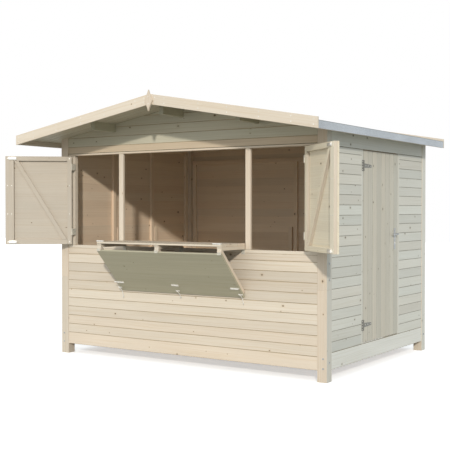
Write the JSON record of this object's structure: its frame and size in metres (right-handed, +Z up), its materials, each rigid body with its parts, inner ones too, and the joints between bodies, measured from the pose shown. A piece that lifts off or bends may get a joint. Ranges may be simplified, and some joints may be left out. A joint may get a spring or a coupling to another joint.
{
  "type": "folding wooden market kiosk",
  "caption": "Board-walled market kiosk with a gable roof, a serving hatch with side shutters and a folding counter, and a hinged side door.",
  "frame": {"origin": "on the ground under the middle of the kiosk's outline", "axes": "+X to the right seen from the serving side, +Y from the serving side to the back, +Z up"},
  "size_m": [3.6636, 2.776, 2.49],
  "materials": {
    "planed_timber": "planed unfinished spruce",
    "wall_boards": "tongued and grooved unfinished spruce boards",
    "roof_covering": "pale blue-grey roofing sheet",
    "zinc_steel": "zinc plated"
  },
  "bodies": {
    "kiosk": {"back_left_bargeboard": "planed_timber", "back_lower_posts": "planed_timber", "back_right_bargeboard": "planed_timber", "back_upper_posts": "planed_timber", "back_wall": "wall_boards", "back_wall_studs": "planed_timber", "counter_battens": "planed_timber", "counter_hinges": "zinc_steel", "counter_prop": "wall_boards", "counter_top": "wall_boards", "doorway_uprights": "planed_timber", "eave_boards": "wall_boards", "eave_trims": "roof_covering", "fixed_hinge_plates": "zinc_steel", "front_gable": "wall_boards", "front_left_bargeboard": "planed_timber", "front_lower_posts": "planed_timber", "front_right_bargeboard": "planed_timber", "front_sill": "planed_timber", "front_upper_posts": "planed_timber", "front_wall": "wall_boards", "front_wall_studs": "planed_timber", "hatch_uprights": "planed_timber", "left_roof_boards": "wall_boards", "left_roof_felt": "roof_covering", "left_shutter": "wall_boards", "left_wall": "wall_boards", "left_wall_studs": "planed_timber", "prop_catches": "zinc_steel", "right_roof_boards": "wall_boards", "right_roof_felt": "roof_covering", "right_shutter": "wall_boards", "right_wall_base": "wall_boards", "right_wall_header": "planed_timber", "right_wall_panels": "wall_boards", "right_wall_studs": "planed_timber", "roof_beams": "planed_timber", "roof_finial": "planed_timber", "shutter_bolts": "zinc_steel", "shutter_hinges": "zinc_steel", "wall_bottom_rails": "planed_timber", "wall_top_rails": "planed_timber"},
    "side_door": {"door_braces": "planed_timber", "door_handle": "zinc_steel", "door_hinge_straps": "zinc_steel", "door_leaf": "wall_boards", "door_ledges": "planed_timber"}
  },
  "joints": [
    {"name": "side_door_hinge", "type": "hinge", "parent": "kiosk", "child": "side_door", "pos_m": [1.502, -0.198, 1.1], "axis": [0, 0, -1], "range_deg": [0, 110]}
  ]
}
